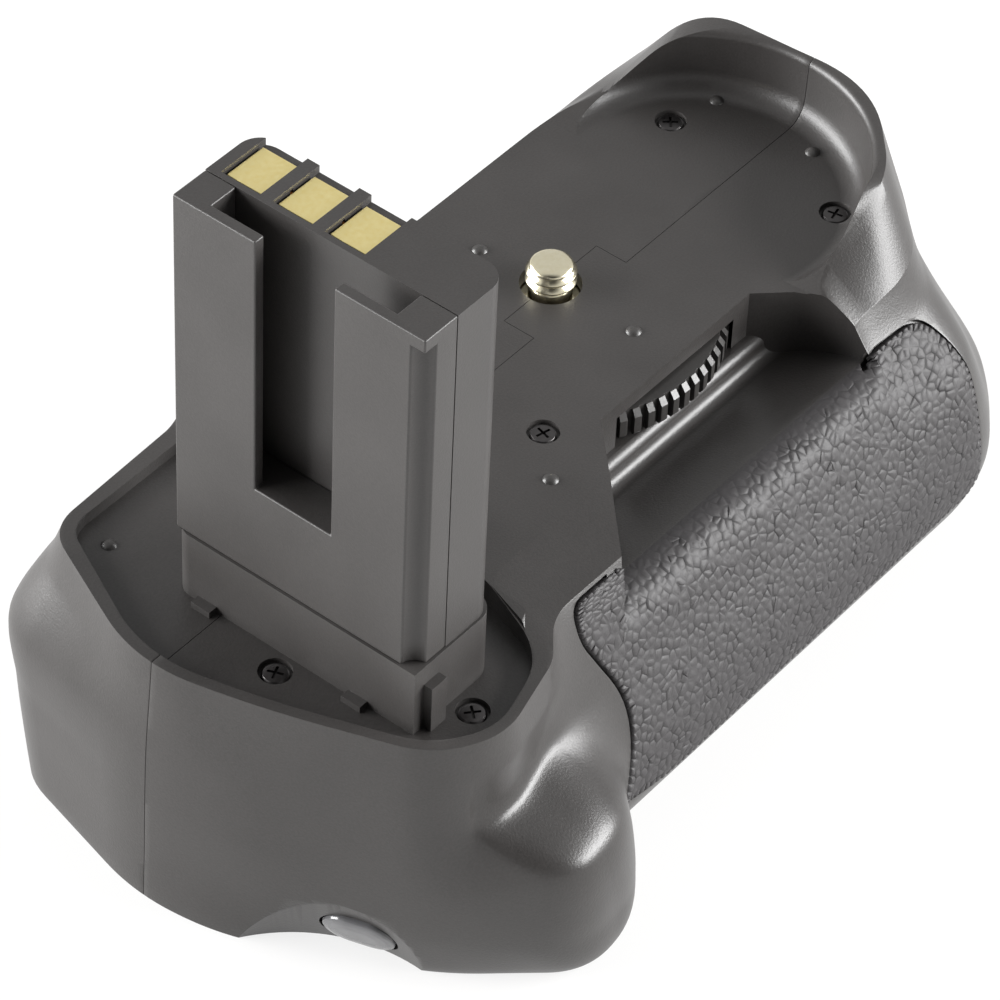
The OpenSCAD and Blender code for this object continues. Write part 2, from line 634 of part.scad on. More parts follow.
module screw_bracket() {
    color("#9a9a9c") difference() {
        union() {
            block([-bracket_x - 2, -8, bracket_z], [bracket_x + 2, 8, bracket_z + bracket_t]);
            for (s = [-1, 1]) translate([s * bracket_x, 0, 0]) block([-2, -5, bracket_z], [2, 5, -deck_t]);
        }
        translate([0, 0, bracket_z - 5]) cylinder(r = 4.5, h = 12);
        for (s = [-1, 1]) translate([s * bracket_x, 0, bracket_z]) mirror([0, 0, 1]) small_screw(8);
    }
}

module bracket_screws() {
    color("#8a8a8c") for (s = [-1, 1])
        translate([s * bracket_x, 0, bracket_z]) mirror([0, 0, 1]) difference() {
        small_screw(8);
        cross_recess();
    }
}

module screw_bush() {
    color("#b9a05a") difference() {
        union() {
            translate([0, 0, bush_z - bush_t]) cylinder(r = 4.5, h = bush_t);
            translate([0, 0, bush_z - 0.6]) cylinder(r = 6, h = 0.6);
        }
        translate([0, 0, bush_z - bush_t - 1]) cylinder(r = journal_r + run_gap, h = bush_t + 2);
    }
}

module screw_clip() {
    color("#77777a") translate([0, 0, clip_z + 0.05]) difference() {
        cylinder(r = journal_r + 1.4, h = 0.7);
        translate([0, 0, -1]) cylinder(r = journal_r - 0.7, h = 3);
        block([0, -1.2, -1], [9, 1.2, 2]);
    }
}

module tray_plan(x, grow, c, back) {
    a = x - grow;
    b = x + bay_w + grow;
    f = bay_front - grow;
    polygon([[a + c, f], [b - c, f], [b, f + c], [b, back], [a, back], [a, f + c]]);
}

module battery_tray(x) {
    color("#5a5755") difference() {
        translate([0, 0, tray_z]) linear_extrude(tray_top - tray_z)
            tray_plan(x, tray_t, corner_cut + 0.7, bay_back);
        translate([0, 0, bay_z]) linear_extrude(bay_h) tray_plan(x, 0, corner_cut, bay_back + 1);
    }
}

module tray_contacts(x) {
    color("#e7cf79") for (k = [-1, 0, 1])
        translate([x + bay_w / 2 + k * contact_pitch, bay_front, bay_z + bay_h / 2])
        block([-1.6, 0, -4], [1.6, 0.4, 4]);
}

module battery_tray_near() {
    battery_tray(bay_x[0]);
}

module battery_tray_far() {
    battery_tray(bay_x[1]);
}

module tray_contacts_near() {
    tray_contacts(bay_x[0]);
}

module tray_contacts_far() {
    tray_contacts(bay_x[1]);
}

module battery_door() {
    color("#4f4c4b") difference() {
        union() {
            block([-door_half, back_y - door_t, door_low], [door_half, back_y, door_top]);
            for (k = knuckle_x) {
                bar(k[0], k[1], axis_y, axis_z, knuckle_r);
                block([k[0], axis_y - 0.3, axis_z], [k[1], back_y, door_low + 1]);
            }
        }
        bar(-60, 60, axis_y, axis_z, pin_r + run_gap);
        block([-4, 0, door_top - 6.2], [4, 60, door_top - 1.2]);
    }
}

module door_pin() {
    color("#9a9a9c") bar(-door_half, door_half, axis_y, axis_z, pin_r);
}

module door_latch() {
    inner = back_y - wall - 0.3;
    color("#3a3838") {
        block([-7, back_y + 0.15, door_top - 4.6], [7, back_y + 1.3, door_top - 0.8]);
        block([-3.6, inner - 0.5, door_top - 3.4], [3.6, back_y + 0.5, door_top - 1.6]);
        block([-4.6, inner - 1, door_top - 4.6], [4.6, inner, door_top + 1.8]);
    }
}

module circuit_board() {
    color("#2e6b3c") difference() {
        block([-68, -28, board_z], [-48, 10, board_z + board_t]);
        for (p = board_screw_at) translate([p[0], p[1], board_z - 1]) cylinder(r = shank_r - 0.2, h = 5);
    }
}

module board_screws() {
    color("#8a8a8c") for (p = board_screw_at) translate([p[0], p[1], board_z]) {
        cylinder(r = shank_r - 0.2, h = 5);
        translate([0, 0, -1]) cylinder(r = 1.6, h = 1);
    }
}

module shutter_button() {
    color("#6f6e6e") at_button() {
        translate([0, 0, -1.2]) linear_extrude(1.2 + button_out - 0.4) button_plan();
        translate([0, 0, button_out - 0.5]) linear_extrude(0.3) button_plan(-0.25);
        translate([0, 0, button_out - 0.3]) linear_extrude(0.3) button_plan(-0.7);
        translate([0, 0, -5.6]) cylinder(r = 1.8, h = 5);
    }
}

module button_guide() {
    color("#5a5755") at_button() difference() {
        translate([0, 0, -7]) linear_extrude(7 - seat_d) button_plan(1.5);
        translate([0, 0, -3.2]) linear_extrude(9) button_plan(button_gap);
        translate([0, 0, -9]) cylinder(r = 1.8 + run_gap, h = 9);
        translate([0, 0, -9]) linear_extrude(4) button_plan();
    }
}

module button_switch() {
    color("#2b2b2d") at_button() block([-4.6, -4.6, -10.2], [4.6, 4.6, -7]);
}

front_shell();
rear_shell();
base_plate();
grip_pad();
deck_screws();
deck_nubs();
base_screws();
stalk_shell();
stalk_cover();
stalk_contacts();
stalk_flex();
thumb_wheel();
camera_screw();
screw_bracket();
screw_bush();
screw_clip();
bracket_screws();
tripod_socket();
battery_tray_near();
battery_tray_far();
tray_contacts_near();
tray_contacts_far();
battery_door();
door_pin();
door_latch();
circuit_board();
board_screws();
shutter_button();
button_guide();
button_switch();
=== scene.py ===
# %% [markdown]
# # Camera battery grip
# The grip screws under a camera and holds two batteries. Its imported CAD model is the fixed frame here:
# bodies, joints and sizes are settled, and this lesson dresses them with finer forms and real materials.

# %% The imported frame
import json
import math

import bmesh
import bpy
import numpy as np
from mathutils import Matrix, Vector, noise
from mathutils.bvhtree import BVHTree
from mathutils.geometry import delaunay_2d_cdt

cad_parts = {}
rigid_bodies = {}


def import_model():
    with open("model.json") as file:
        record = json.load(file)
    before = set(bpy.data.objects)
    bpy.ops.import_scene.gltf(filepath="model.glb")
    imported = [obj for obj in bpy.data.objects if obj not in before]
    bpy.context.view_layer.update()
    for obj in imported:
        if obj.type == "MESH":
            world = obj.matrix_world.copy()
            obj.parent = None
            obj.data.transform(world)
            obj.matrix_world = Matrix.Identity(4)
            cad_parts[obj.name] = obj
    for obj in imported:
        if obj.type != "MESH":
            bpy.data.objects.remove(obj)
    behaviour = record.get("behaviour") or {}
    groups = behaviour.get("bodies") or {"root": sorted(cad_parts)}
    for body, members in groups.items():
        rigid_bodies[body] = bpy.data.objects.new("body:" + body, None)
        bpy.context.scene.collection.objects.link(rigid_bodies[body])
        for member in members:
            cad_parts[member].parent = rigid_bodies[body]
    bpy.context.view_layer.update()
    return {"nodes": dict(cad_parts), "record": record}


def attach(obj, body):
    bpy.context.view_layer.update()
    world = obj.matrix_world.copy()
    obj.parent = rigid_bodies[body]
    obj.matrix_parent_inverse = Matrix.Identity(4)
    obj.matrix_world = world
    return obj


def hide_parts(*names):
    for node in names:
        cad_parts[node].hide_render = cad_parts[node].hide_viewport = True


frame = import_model()
MM = 0.001

# %% [markdown]
# ## Finishes
# Nearly everything that shows is black ABS, moulded in a steel tool whose walls were spark-eroded, which
# leaves a fine grain. Each finish is a small node tree on Object coordinates, so the grain keeps its size.
# Colours are written as they would be picked from a swatch and turned to linear values by one function.

# %% Colour and node helpers


def linear(code):
    parts = [int(code[i:i + 2], 16) / 255 for i in (1, 3, 5)]
    return [p / 12.92 if p <= 0.04045 else ((p + 0.055) / 1.055) ** 2.4 for p in parts] + [1.0]


def add_node(tree, kind, inputs=None, **settings):
    made = tree.nodes.new(kind)
    for key, value in settings.items():
        setattr(made, key, value)
    for socket, value in (inputs or {}).items():
        if isinstance(value, bpy.types.NodeSocket):
            tree.links.new(value, made.inputs[socket])
        else:
            made.inputs[socket].default_value = value
    return made


def blend(tree, factor, a, b):
    mix = add_node(tree, "ShaderNodeMix", {"Factor": factor, "A": a, "B": b}, data_type="RGBA")
    return mix.outputs["Result"]


def new_finish(name):
    made = bpy.data.materials.new(name)
    made.use_nodes = True
    made.node_tree.nodes.clear()
    return made, made.node_tree


def close_finish(tree, shader):
    add_node(tree, "ShaderNodeOutputMaterial", {"Surface": shader.outputs[0]})


# %% Moulded plastics


def moulded_plastic(name, dark, light, roughness, grain_mm, depth_mm, cloud_mm=16.0, strength=0.5):
    """A plastic with the eroded tool's grain, and a cloudy change of shade from handling."""
    finish, tree = new_finish(name)
    where = add_node(tree, "ShaderNodeTexCoord").outputs["Object"]
    cloud = add_node(tree, "ShaderNodeTexNoise", {"Vector": where, "Scale": 1 / (cloud_mm * MM),
                                                  "Detail": 3.0})
    grain = add_node(tree, "ShaderNodeTexNoise", {"Vector": where, "Scale": 1 / (grain_mm * MM),
                                                  "Detail": 2.0, "Roughness": 0.6})
    both = add_node(tree, "ShaderNodeMath", {0: cloud.outputs["Fac"], 1: grain.outputs["Fac"]},
                    operation="ADD")
    shade = add_node(tree, "ShaderNodeMapRange", {"Value": both.outputs[0], "From Min": 0.7,
                                                  "From Max": 1.3})
    colour = blend(tree, shade.outputs[0], linear(dark), linear(light))
    gloss = add_node(tree, "ShaderNodeMapRange", {"Value": cloud.outputs["Fac"], "From Min": 0.3,
                                                  "From Max": 0.7, "To Min": roughness - 0.04,
                                                  "To Max": roughness + 0.04})
    bump = add_node(tree, "ShaderNodeBump", {"Strength": strength, "Distance": depth_mm * MM,
                                             "Height": grain.outputs["Fac"]})
    close_finish(tree, add_node(tree, "ShaderNodeBsdfPrincipled", {
        "Base Color": colour, "Roughness": gloss.outputs[0], "Normal": bump.outputs[0],
        "IOR": 1.5}))
    return finish


# A real tool's grain is finer. It is drawn at about 0.3 mm so that it shows in the render.
body_abs = moulded_plastic("moulded black ABS", "#2d2b2a", "#373534", 0.36, 0.3, 0.05)
# The stalk is the body's black ABS. Its colours are a little lighter as painted light, for the light that
# falls on its sides.
stalk_abs = moulded_plastic("black ABS lightened for painted light", "#302e2d", "#393736", 0.42, 0.25, 0.04)
wheel_abs = moulded_plastic("moulded wheel ABS", "#302f2e", "#393736", 0.34, 0.3, 0.03)
button_abs = moulded_plastic("polished grey ABS", "#5a5a5c", "#626264", 0.16, 2.0, 0.004, strength=0.2)
tray_abs = moulded_plastic("inner black ABS", "#2b2a2a", "#343232", 0.5, 0.4, 0.02)
board_epoxy = moulded_plastic("green board epoxy", "#1f5b30", "#2c6e3e", 0.35, 1.0, 0.01)
flex_film = moulded_plastic("amber polyimide film", "#9a5f1f", "#b87333", 0.3, 1.5, 0.01)
print("plastics:", [m.name for m in (body_abs, stalk_abs, wheel_abs, button_abs)])

# %% Metals


def plated_metal(name, colour, worn, roughness, mark_mm=0.6):
    """A plated or blackened metal: fine rubbing marks change its gloss and shade a little."""
    finish, tree = new_finish(name)
    where = add_node(tree, "ShaderNodeTexCoord").outputs["Object"]
    marks = add_node(tree, "ShaderNodeTexNoise", {"Vector": where, "Scale": 1 / (mark_mm * MM),
                                                  "Detail": 4.0})
    shade = blend(tree, marks.outputs["Fac"], linear(colour), linear(worn))
    gloss = add_node(tree, "ShaderNodeMapRange", {"Value": marks.outputs["Fac"], "From Min": 0.3,
                                                  "From Max": 0.7, "To Min": roughness * 0.85,
                                                  "To Max": roughness * 1.15})
    close_finish(tree, add_node(tree, "ShaderNodeBsdfPrincipled", {
        "Base Color": shade, "Metallic": 1.0, "Roughness": gloss.outputs[0]}))
    return finish


contact_gold = plated_metal("gold plated copper", "#fbe593", "#fff2b8", 0.36)
screw_nickel = plated_metal("pale nickel plated brass", "#e9dfbd", "#f4eed6", 0.2)
black_steel = plated_metal("black oxide steel", "#4c4a4a", "#5b5959", 0.32)
bright_steel = plated_metal("zinc plated steel", "#a9aaad", "#b9babd", 0.3)
yellow_brass = plated_metal("turned brass", "#c2a75c", "#d2b970", 0.28)

# %% [markdown]
# ## Grip rubber
# The pad is moulded synthetic rubber with a leather grain: flat plates between dark cracks. The cracks are
# real relief in the mesh, and an attribute that the mesh carries darkens them where dust and shade sit.

# %% Leather-grain rubber
grip_rubber, tree = new_finish("leather grain rubber")
where = add_node(tree, "ShaderNodeTexCoord").outputs["Object"]
crack = add_node(tree, "ShaderNodeAttribute", attribute_name="crack").outputs["Fac"]
pores = add_node(tree, "ShaderNodeTexNoise", {"Vector": where, "Scale": 1 / (0.3 * MM), "Detail": 3.0})
plate = blend(tree, pores.outputs["Fac"], linear("#2b292a"), linear("#353334"))
shade = blend(tree, crack, plate, linear("#0f0d0e"))
dull = add_node(tree, "ShaderNodeMapRange", {"Value": crack, "To Min": 0.56, "To Max": 0.85})
bump = add_node(tree, "ShaderNodeBump", {"Strength": 0.5, "Distance": 0.03 * MM,
                                         "Height": pores.outputs["Fac"]})
close_finish(tree, add_node(tree, "ShaderNodeBsdfPrincipled", {
    "Base Color": shade, "Roughness": dull.outputs[0], "Normal": bump.outputs[0], "IOR": 1.5}))
print("finishes:", len(bpy.data.materials))

# %% [markdown]
# ## Working solids
# The body is carved as a maker would carve a model: one smooth skin, then tools that cut the deck, the
# bowl, the pocket and the slots out of it. Working solids are in millimetres. Each has a tag material, so
# that after the cuts the script can tell skin from cut faces and round the edges between them.

# %% Carving helpers
CUT_TRIES = 6
# Least volumes in mm3 of a sound body and of a sound half of it
BODY_LEAST, HALF_LEAST = 30000, 14000
TAGS = {name: bpy.data.materials.new("tag " + name) for name in ("skin", "cut", "inside")}


def placed(name, data):
    made = bpy.data.objects.new(name, data)
    bpy.context.scene.collection.objects.link(made)
    return made


def solid(bm, tag="cut"):
    bmesh.ops.recalc_face_normals(bm, faces=bm.faces)
    mesh = bpy.data.meshes.new("work")
    bm.to_mesh(mesh)
    bm.free()
    mesh.materials.append(TAGS[tag])
    return placed("work", mesh)


def volume(mesh):
    bm = bmesh.new()
    bm.from_mesh(mesh)
    amount = abs(bm.calc_volume())
    bm.free()
    return amount


def carve(target, *tools, operation="DIFFERENCE", least=0.0):
    """Cuts with each tool. A cut can lose most of the body, so a result below least mm3 is cut again."""
    for tool in tools:
        step = target.modifiers.new("carve", "BOOLEAN")
        step.object, step.operation, step.solver, step.material_mode = tool, operation, "EXACT", "TRANSFER"
    for _ in range(CUT_TRIES):
        target.update_tag()
        bpy.context.view_layer.update()
        mesh = bpy.data.meshes.new_from_object(target.evaluated_get(bpy.context.evaluated_depsgraph_get()))
        if volume(mesh) >= least:
            break
        print("cut again:", target.name)
    target.modifiers.clear()
    target.data = mesh
    for tool in tools:
        bpy.data.objects.remove(tool)
    return target


def twin(obj):
    return placed("work", obj.data.copy())


def block(a, b, tag="cut"):
    a, b = Vector(a), Vector(b)
    bm = bmesh.new()
    size = Matrix.Diagonal((*(b - a), 1))
    bmesh.ops.create_cube(bm, size=1, matrix=Matrix.Translation((a + b) / 2) @ size)
    return solid(bm, tag)


def drum(radius, low, high, at=(0, 0), segments=96, tag="cut", frame_at=Matrix.Identity(4)):
    bm = bmesh.new()
    bmesh.ops.create_cone(bm, cap_ends=True, segments=segments, radius1=radius, radius2=radius,
                          depth=high - low, matrix=frame_at @ Matrix.Translation((*at, (low + high) / 2)))
    return solid(bm, tag)


def prism(outline, low, high, tag="cut", turn=Matrix.Identity(4)):
    bm = bmesh.new()
    face = bm.faces.new([bm.verts.new((x, y, low)) for x, y in outline])
    made = bmesh.ops.extrude_face_region(bm, geom=[face])["geom"]
    bmesh.ops.translate(bm, vec=(0, 0, high - low),
                        verts=[v for v in made if isinstance(v, bmesh.types.BMVert)])
    bmesh.ops.transform(bm, matrix=turn, verts=bm.verts)
    return solid(bm, tag)


def lathe(bm, line, steps):
    """Spins a line of (radius, height) points round the Z axis."""
    verts = [bm.verts.new((x, 0, z)) for x, z in line]
    edges = [bm.edges.new(pair) for pair in zip(verts, verts[1:])]
    bmesh.ops.spin(bm, geom=verts + edges, cent=(0, 0, 0), axis=(0, 0, 1), angle=math.tau, steps=steps,
                   use_merge=True)
    bmesh.ops.remove_doubles(bm, verts=bm.verts, dist=1e-4)


# %% [markdown]
# ## The body's skin
# Eight slices say where the skin's corners are and how far each is rounded, as in the CAD source. Here each
# corner gets more points and the slices are blended with a four-point scheme four times over, so the skin
# is smooth where the CAD has facets.

# %% Slices
deck_back, ridge_front, near_end, far_end, far_wall = 19.5, 34.5, 77.5, 46.8, 9.0
back_y, corner_y, grip_y, front_lobe, foot_y = 26.6, 24.2, 43.5, 42.0, 53.0
rim_drop, low, wall, floor_z, far_x = 1.8, -40.0, 2.2, -3.5, 50.5

roof = [[34, -25.5, far_wall, 6], [far_end + 0.4, -13.5, far_wall, 10], [far_end - 1.6, 13, far_wall, 12],
        [33, 16.8, 1.2, 3], [23, deck_back - 0.2, 0.4, 4], [-44, deck_back - 0.2, 0.4, 1],
        [-48, deck_back - 2.6, -rim_drop, 1], [-68, 16, -rim_drop, 3.5], [0.9 - near_end, -3, -rim_drop, 8],
        [-73, -18.4, -rim_drop, 7], [-66.3, -35, -rim_drop, 4.5], [-59.6, -38.6, -rim_drop, 3.5],
        [-49.4, -36.4, -rim_drop, 2], [-43.5, -24, 0.35, 2], [19, -24, 0.35, 3], [22, -24.3, 2.1, 1]]
rim = [[33, -31.5, -0.5, 6], [far_end + 0.2, -17.5, 0.5, 9], [far_end + 2, 18, 0.5, 12],
       [33, 19.6, -0.4, 4], [24, deck_back + 0.6, -1.2, 4], [-44, deck_back + 0.6, -1.2, 1],
       [-48, deck_back - 0.3, -rim_drop, 1], [-69.5, 18.4, -rim_drop, 4],
       [-near_end - 1.5, -3, -rim_drop, 9], [-75, -19, -rim_drop, 8], [-68, 4.4 - front_lobe, -rim_drop, 5],
       [-60.3, -front_lobe, -rim_drop, 4], [-47.9, 3.2 - front_lobe, -rim_drop, 1.5],
       [-42.6, -ridge_front, -1.5, 3], [14, -ridge_front, -1.5, 8], [20.5, -30.6, -2.6, 3]]
shoulder = [[33.5, -34.2, -6, 6], [far_end - 2.8, -22.3, -5, 8], [far_end + 3.2, 20.5, -5, 11],
            [34, deck_back + 2.5, -5, 4], [26, deck_back + 2.5, -5, 4], [-44, deck_back + 2.2, -5, 1],
            [-50, deck_back + 0.9, -5.5, 1], [-70.8, deck_back + 0.9, -6.5, 6],
            [-near_end - 1.8, -3.1, -7, 9], [-75.6, -18.6, -7, 8], [-68.3, -38.3, -7, 5],
            [-60.4, -0.6 - front_lobe, -7, 4], [-48.9, 2.5 - front_lobe, -7, 1.5],
            [-41.8, -ridge_front - 1.6, -5, 3], [15, -ridge_front - 2, -5, 7], [20.5, -33.2, -6.2, 3]]
upper = [[far_x - 15, 3.5 - grip_y, -13, 5], [far_x - 4.1, 19 - grip_y, -13, 8], [far_x, back_y, -15, 5],
         [far_x - 14.5, back_y, -15, 4], [far_x - 20.5, back_y, -15, 2], [-46, back_y, -15, 2],
         [-54, corner_y, -15, 2], [-74.6, corner_y, -15, 8], [-near_end - 2.2, -3.3, -15, 9],
         [-76.8, -18, -15, 8], [-68.6, -39, -15, 5], [-60.6, -1.4 - front_lobe, -14.5, 4],
         [-50.5, 1.2 - front_lobe, -14, 2.5], [-40.4, 4.3 - grip_y, -14, 4], [18, 3.9 - grip_y, -14, 6],
         [24, 3.8 - grip_y, -13.7, 3]]
middle = [[far_x - 14.5, 0.8 - grip_y, -22, 5], [far_x - 1.7, 12 - grip_y, -22, 7], [far_x, back_y, -20, 5],
          [far_x - 14.5, back_y, -20, 4], [far_x - 20.5, back_y, -20, 2], [-46, back_y, -20, 2],
          [-54, corner_y, -20, 2], [-74.3, corner_y - 0.3, -24, 8], [-near_end - 2.5, -3.4, -24, 9],
          [-77.8, -17.2, -24, 7], [-69, -39.4, -24, 5], [-59.5, 0.9 - foot_y, -19.5, 5],
          [-48.5, 2 - foot_y, -19.5, 5], [-38.5, 1.1 - grip_y, -23, 4], [20, 0.5 - grip_y, -23, 6],
          [25, 0.6 - grip_y, -22.6, 3]]
lower = [[far_x - 14.5, 0.1 - grip_y, -30, 5], [far_x - 2.2, 8.4 - grip_y, -30, 7], [far_x, back_y, -31, 5],
         [far_x - 14.5, back_y, -31, 4], [far_x - 20.5, back_y, -31, 2], [-46, back_y, -31, 2],
         [-54, corner_y - 0.3, -31, 2], [-74.2, corner_y - 1, -32, 8], [-near_end - 2.7, -3.5, -32, 8],
         [-78.2, -16.4, -32, 7], [-68.4, -40.2, -32, 5], [-58.5, -0.2 - foot_y, -32, 6],
         [-45.5, 1 - foot_y, -32, 6], [-40.3, -0.3 - grip_y, -31, 3], [20, -grip_y, -31, 6],
         [25, -grip_y, -30.6, 3]]
skirt = [[far_x - 14.2, 2.7 - grip_y, low + 2.4, 5], [far_x - 2.5, 9 - grip_y, low + 2.4, 7],
         [far_x - 0.2, back_y, low + 2.4, 5], [far_x - 14.5, back_y, low + 2.4, 4],
         [far_x - 20.5, back_y, low + 2.4, 2], [-46, back_y, low + 2.4, 2],
         [-54, corner_y - 1, low + 2.4, 2], [-74.4, corner_y - 2, low + 2, 8],
         [-near_end - 2.9, -3.6, low + 2, 8], [-78.6, -16, low + 2, 7], [-67, -39.8, low + 2, 5],
         [-56.2, 0.3 - foot_y, low + 2, 6], [-45.5, 1.4 - foot_y, low + 2, 6],
         [-38.4, 2.6 - grip_y, low + 2.4, 3], [20, 2.7 - grip_y, low + 2.4, 6],
         [25, 2.7 - grip_y, low + 2.4, 3]]
bottom = [[far_x - 14.5, 4.5 - grip_y, low, 5], [far_x - 4, 10 - grip_y, low, 7],
          [far_x - 1.5, back_y - 1.4, low, 5], [far_x - 14.5, back_y - 1.4, low, 4],
          [far_x - 20.5, back_y - 1.4, low, 2], [-46, back_y - 1.4, low, 2], [-54, corner_y - 2.4, low, 2],
          [-74.3, corner_y - 2.6, low, 7], [-near_end - 2.9, -3.6, low, 8], [-78.6, -16, low, 7],
          [-66.2, -39.2, low, 5], [-55.2, 2 - foot_y, low, 6], [-46, 3.2 - foot_y, low, 6],
          [-37.4, 4.2 - grip_y, low, 3], [20, 4.5 - grip_y, low, 6], [25, 4.5 - grip_y, low, 3]]

# %% Rings through the slices


def ring(corners, steps, spans):
    """Points round one slice: each corner on a curve, with a few more along each straight run."""
    places = [np.array(c[:3], float) for c in corners]
    count = len(places)
    reach = []
    for i, b in enumerate(places):
        a, c = places[i - 1], places[(i + 1) % count]
        reach.append(min(corners[i][3], 0.47 * np.linalg.norm(a - b), 0.47 * np.linalg.norm(c - b)))
    points = []
    for i, b in enumerate(places):
        a, c = places[i - 1], places[(i + 1) % count]
        start = b + reach[i] * (a - b) / np.linalg.norm(a - b)
        end = b + reach[i] * (c - b) / np.linalg.norm(c - b)
        after = c + reach[(i + 1) % count] * (b - c) / np.linalg.norm(b - c)
        for s in np.linspace(0, 1, steps + 1):
            points.append((1 - s) ** 2 * start + 2 * s * (1 - s) * b + s * s * end)
        points.extend(end + (after - end) * k / (spans + 1) for k in range(1, spans + 1))
    return np.array(points)


def blended(rings):
    out = []
    for k in range(len(rings) - 1):
        a, d = rings[max(k - 1, 0)], rings[min(k + 2, len(rings) - 1)]
        out += [rings[k], (9 * rings[k] + 9 * rings[k + 1] - a - d) / 16]
    return out + [rings[-1]]


def inset(points, by):
    side = np.roll(points, -1, 0) - np.roll(points, 1, 0)
    out = np.stack([side[:, 1], -side[:, 0], np.zeros(len(points))], 1)
    return points - by * out / np.linalg.norm(out, axis=1)[:, None]


def skin_rings(steps, levels, spans):
    rings = [ring(s, steps, spans) for s in (rim, shoulder, upper, middle, lower, skirt, bottom)]
    for _ in range(levels):
        rings = blended(rings)
    top = ring(roof, steps, spans)
    return [top + (rings[0] - top) * k / 5 for k in range(5)] + rings


def skin_mesh(rings):
    """The rings as one closed mesh, each ring extruded from the one above it."""
    bm = bmesh.new()
    count = len(rings[0])
    verts = [bm.verts.new(p) for p in rings[0]]
    edges = [bm.edges.new((verts[i], verts[(i + 1) % count])) for i in range(count)]
    ends = [edges]
    for points in rings[1:]:
        made = bmesh.ops.extrude_edge_only(bm, edges=edges)["geom"]
        fresh = {v for v in made if isinstance(v, bmesh.types.BMVert)}
        verts = [next(e.other_vert(v) for e in v.link_edges if e.other_vert(v) in fresh) for v in verts]
        for vert, point in zip(verts, points):
            vert.co = point
        edges = [bm.edges.get((verts[i], verts[(i + 1) % count])) for i in range(count)]
    ends.append(edges)
    for loop, peak in zip(ends, ((-15, -8, 12), (-15, -8, low))):
        cap = bmesh.ops.contextual_create(bm, geom=loop)["faces"]
        for vert in bmesh.ops.poke(bm, faces=cap)["verts"]:
            vert.co = peak
    return bm


fine = skin_rings(12, 4, 3)
outer_bm = skin_mesh(fine)
print("skin:", len(outer_bm.verts), "points,", len(fine), "rings")

# %% [markdown]
# ## Tools for the cuts
# The camera stands on a flat deck that ends in a bowl at the far end and a pocket at the stalk. A scoop
# lets a finger reach the wheel, and a second scoop at the near end holds the release button.

# %% Pocket, bowl and scoops
bowl_at = (24.3, -3.6)
pocket_edge = [[-67.9, 16.9, 0, 3], [-near_end, -3, 0, 8], [-73.6, -18.6, 0, 7], [-67, -36.3, 0, 5],
               [-60, 1.4 - front_lobe, 0, 4], [-48, 4.7 - front_lobe, 0, 5], [-44.3, -26, 0, 2],
               [-44.3, 16.9, 0, 1]]
pad_edge = [[-39.6, -2.2, 0, 2.5], [13, -2.2, 0, 1], [18.5, -6.2, 0, 1.5], [30.5, -6, 0, 3],
            [34, -12, 0, 5], [34, low + 8, 0, 4], [-30, low + 8, 0, 6], [-39.6, low + 10.5, 0, 1.5],
            [-34.2, -18.5, 0, 6], [-39.8, -6.5, 0, 4]]


def flat(points):
    return [(p[0], p[1]) for p in points]


def arc(at, radius, start, end, steps=10):
    return [(at[0] + radius * math.cos(a), at[1] + radius * math.sin(a))
            for a in np.radians(np.linspace(start, end, steps + 1))]


def bowl():
    bm = bmesh.new()
    fillet, inner_rim = arc((18, 3), 3, -90, -2, 12), arc((22.3, 7.9), 1.1, 178, 95)
    lathe(bm, [(0, 0)] + fillet + inner_rim + [(23.5, 9.2), (23.5, 14), (0, 14)], 120)
    bmesh.ops.translate(bm, vec=(*bowl_at, 0), verts=bm.verts)
    return solid(bm)


DISH_SIDE = ([(-12, 20), (-12, -7)] + arc((-19.6, -8.5), 1.5, 90, 180) + arc((-22.6, -8.5), 1.5, 0, -106)
             + arc((-33.3, -12.2), 5, 74, 160) + [(-39.5, -13.7), (-60, -13.7), (-60, 20)])
DISH_WALL = [(-9.8, 20), (-9.8, -9.2), (-18.9, -9.2), (-18.9, -12.2), (-22.4, -12.2), (-31.3, -9.5),
             (-34.5, -9.6), (-38, -12.6), (-39.5, -16), (-60, -16), (-60, 20)]
DISH_PLAN = [(-14.8, -19.4), (14.5, -19.4), (18.3, -23.3), (19.3, -25.2), (20, -27.5), (20.4, -30),
             (20.7, -34), (21, -60), (-55.4, -60)]


def dish_block(side, tag="cut"):
    along = Matrix(((0, 0, 1, 0), (1, 0, 0, 0), (0, 1, 0, 0), (0, 0, 0, 1)))
    return prism(side, -60, 40, tag, along)


def dish(side=DISH_SIDE, grow=0.0, tag="cut"):
    plan = flat(inset(np.array([(x, y, 0) for x, y in DISH_PLAN]), grow))
    return carve(prism(plan, -30, 20, tag), dish_block(side, tag), operation="INTERSECT")


scoop_r, button_turn = 24.0, math.radians(4)
button_r, button_hole, button_flange, button_half, stem_r = 3.3, 3.6, 4.9, 1.3, 1.8
at_scoop = (Matrix.Translation((-71.8, -28.5, -33)) @ Matrix.Rotation(math.radians(203), 4, "Z")
            @ Matrix.Rotation(math.radians(22), 4, "Y"))
at_button = (at_scoop @ Matrix.Translation((scoop_r * (1 - math.cos(button_turn)),
                                            scoop_r * math.sin(button_turn), -3))
             @ Matrix.Rotation(-button_turn, 4, "Z") @ Matrix.Rotation(math.radians(90), 4, "Y"))


def finger_scoop(grow=0.0, tag="cut"):
    return drum(scoop_r + grow, -40, 40, (scoop_r, 0), 160, tag, at_scoop)


def stadium(radius, half, steps=24):
    ends = []
    for side in (1, -1):
        ends += [(radius * math.cos(a), side * half + radius * math.sin(a))
                 for a in np.linspace(0, math.pi, steps) + (0 if side > 0 else math.pi)]
    return ends


# %% [markdown]
# ## Inside of the shells
# The two halves are hollow, with posts for the screws, so that the trays and the board have their room and
# the shells are real walls when the door stands open.

